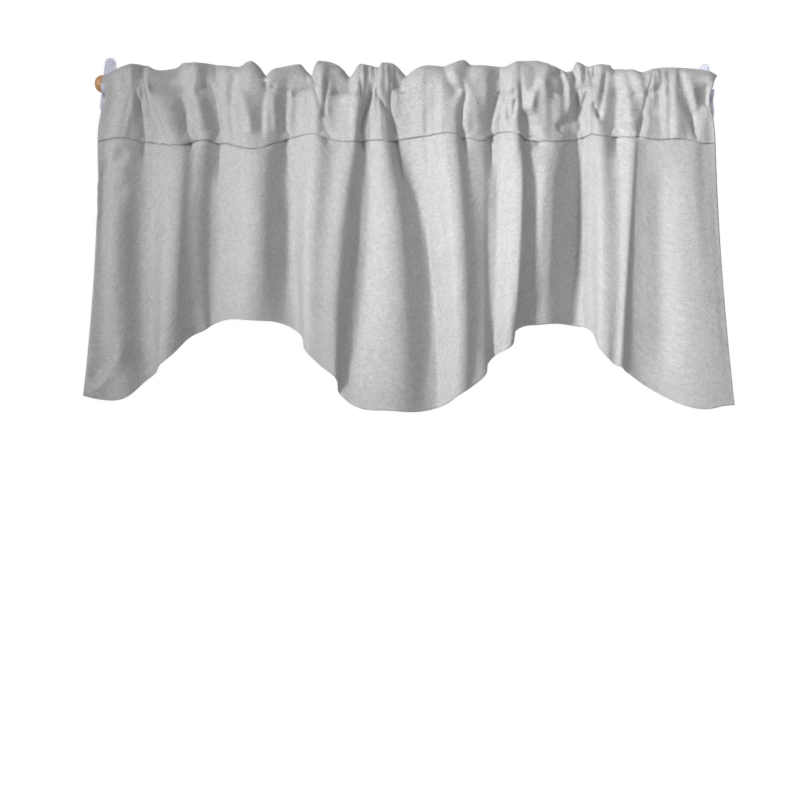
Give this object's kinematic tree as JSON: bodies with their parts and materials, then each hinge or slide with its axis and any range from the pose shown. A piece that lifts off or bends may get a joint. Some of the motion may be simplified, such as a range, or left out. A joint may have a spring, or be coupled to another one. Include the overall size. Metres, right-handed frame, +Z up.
{
  "type": "scalloped window valance on a curtain rod with wall brackets",
  "caption": "Gathered satin valance with a rod pocket, a ruffled top and a scalloped hem, hung on a wooden rod in plastic wall brackets.",
  "frame": {"origin": "on the wall plane, midway between the brackets, at the height of the rod's axis", "axes": "+X along the rod towards its right end as seen from the room, +Y into the wall, +Z up"},
  "size_m": [0.7631, 0.0879, 0.4274],
  "materials": {
    "satin": "silver grey satin with a soft sheen",
    "wood": "reddish brown, clear coated",
    "plastic": "pale lavender white, moulded"
  },
  "bodies": {
    "root": {"valance": "satin", "rod": "wood", "bracket_left": "plastic", "bracket_right": "plastic"}
  },
  "joints": []
}
